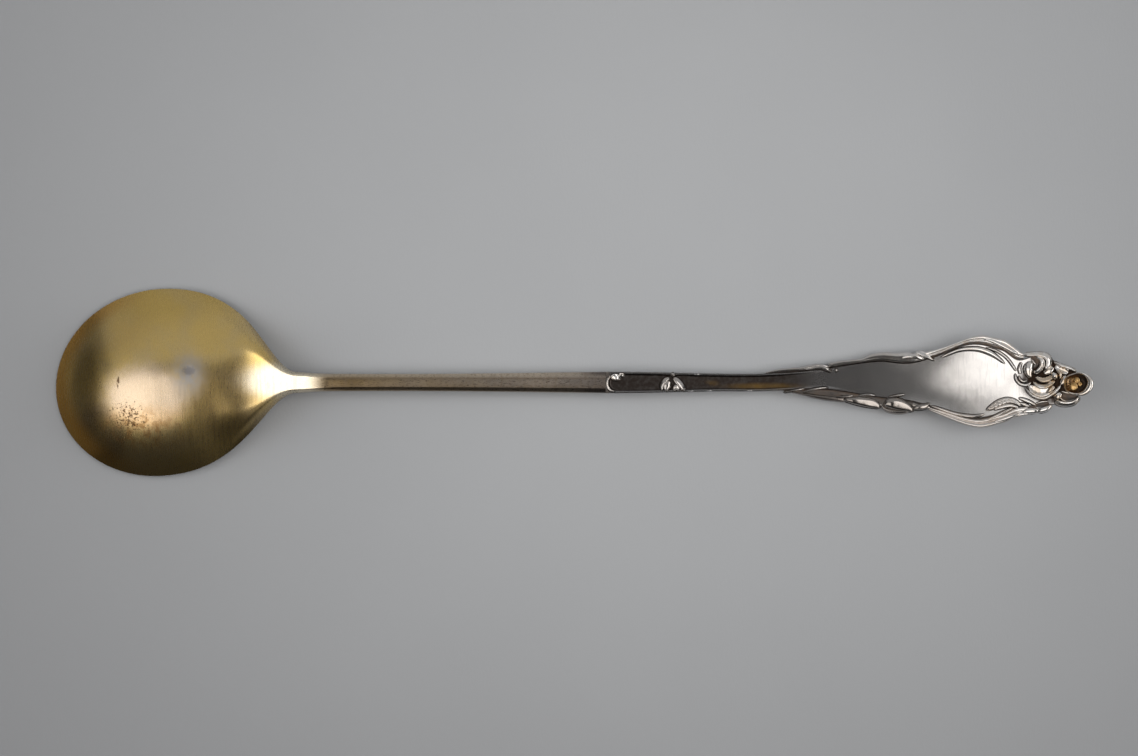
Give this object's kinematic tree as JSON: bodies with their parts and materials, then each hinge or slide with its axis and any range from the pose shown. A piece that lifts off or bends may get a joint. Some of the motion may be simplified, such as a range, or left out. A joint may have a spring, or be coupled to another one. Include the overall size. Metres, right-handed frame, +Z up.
{
  "type": "chocolate muddler",
  "caption": "Long silver chocolate muddler with an oval gilt bowl, slim stem and leaf-edged handle ending in a blossom; it stirs and crushes chocolate in a pot.",
  "frame": {"origin": "centre of the bounding box, on the table that the piece lies on", "axes": "+X from the bowl to the blossom at the end of the handle, +Z up through the back of the piece"},
  "size_m": [0.203, 0.0368, 0.0128],
  "materials": {
    "gilt_bowl": "worn gilt silver, rubbed",
    "gilt_stem": "thin gilt over silver, rubbed",
    "silver_plate": "satin silver",
    "silver_relief": "polished silver relief, dark in the recesses",
    "gilt_stamen": "gilt"
  },
  "bodies": {
    "root": {"bowl": "gilt_bowl", "stem": "gilt_stem", "handle": "silver_plate", "collar_leaf": "silver_relief", "bud_left": "silver_relief", "bud_right": "silver_relief", "upper_leaf_near": "silver_relief", "upper_leaf_mid": "silver_relief", "upper_border": "silver_relief", "upper_rib": "silver_relief", "lower_leaf_near": "silver_relief", "lower_leaf_mid": "silver_relief", "lower_bud": "silver_relief", "lower_tip": "silver_relief", "lower_border": "silver_relief", "lower_rib": "silver_relief", "curl_leaf": "silver_relief", "shoulder_leaf": "silver_relief", "round_petal": "silver_relief", "scroll_petal": "silver_relief", "fall_petal": "silver_relief", "heart_petal": "silver_relief", "lower_petal": "silver_relief", "throat_cup": "silver_relief", "stamens": "gilt_stamen"}
  },
  "joints": []
}
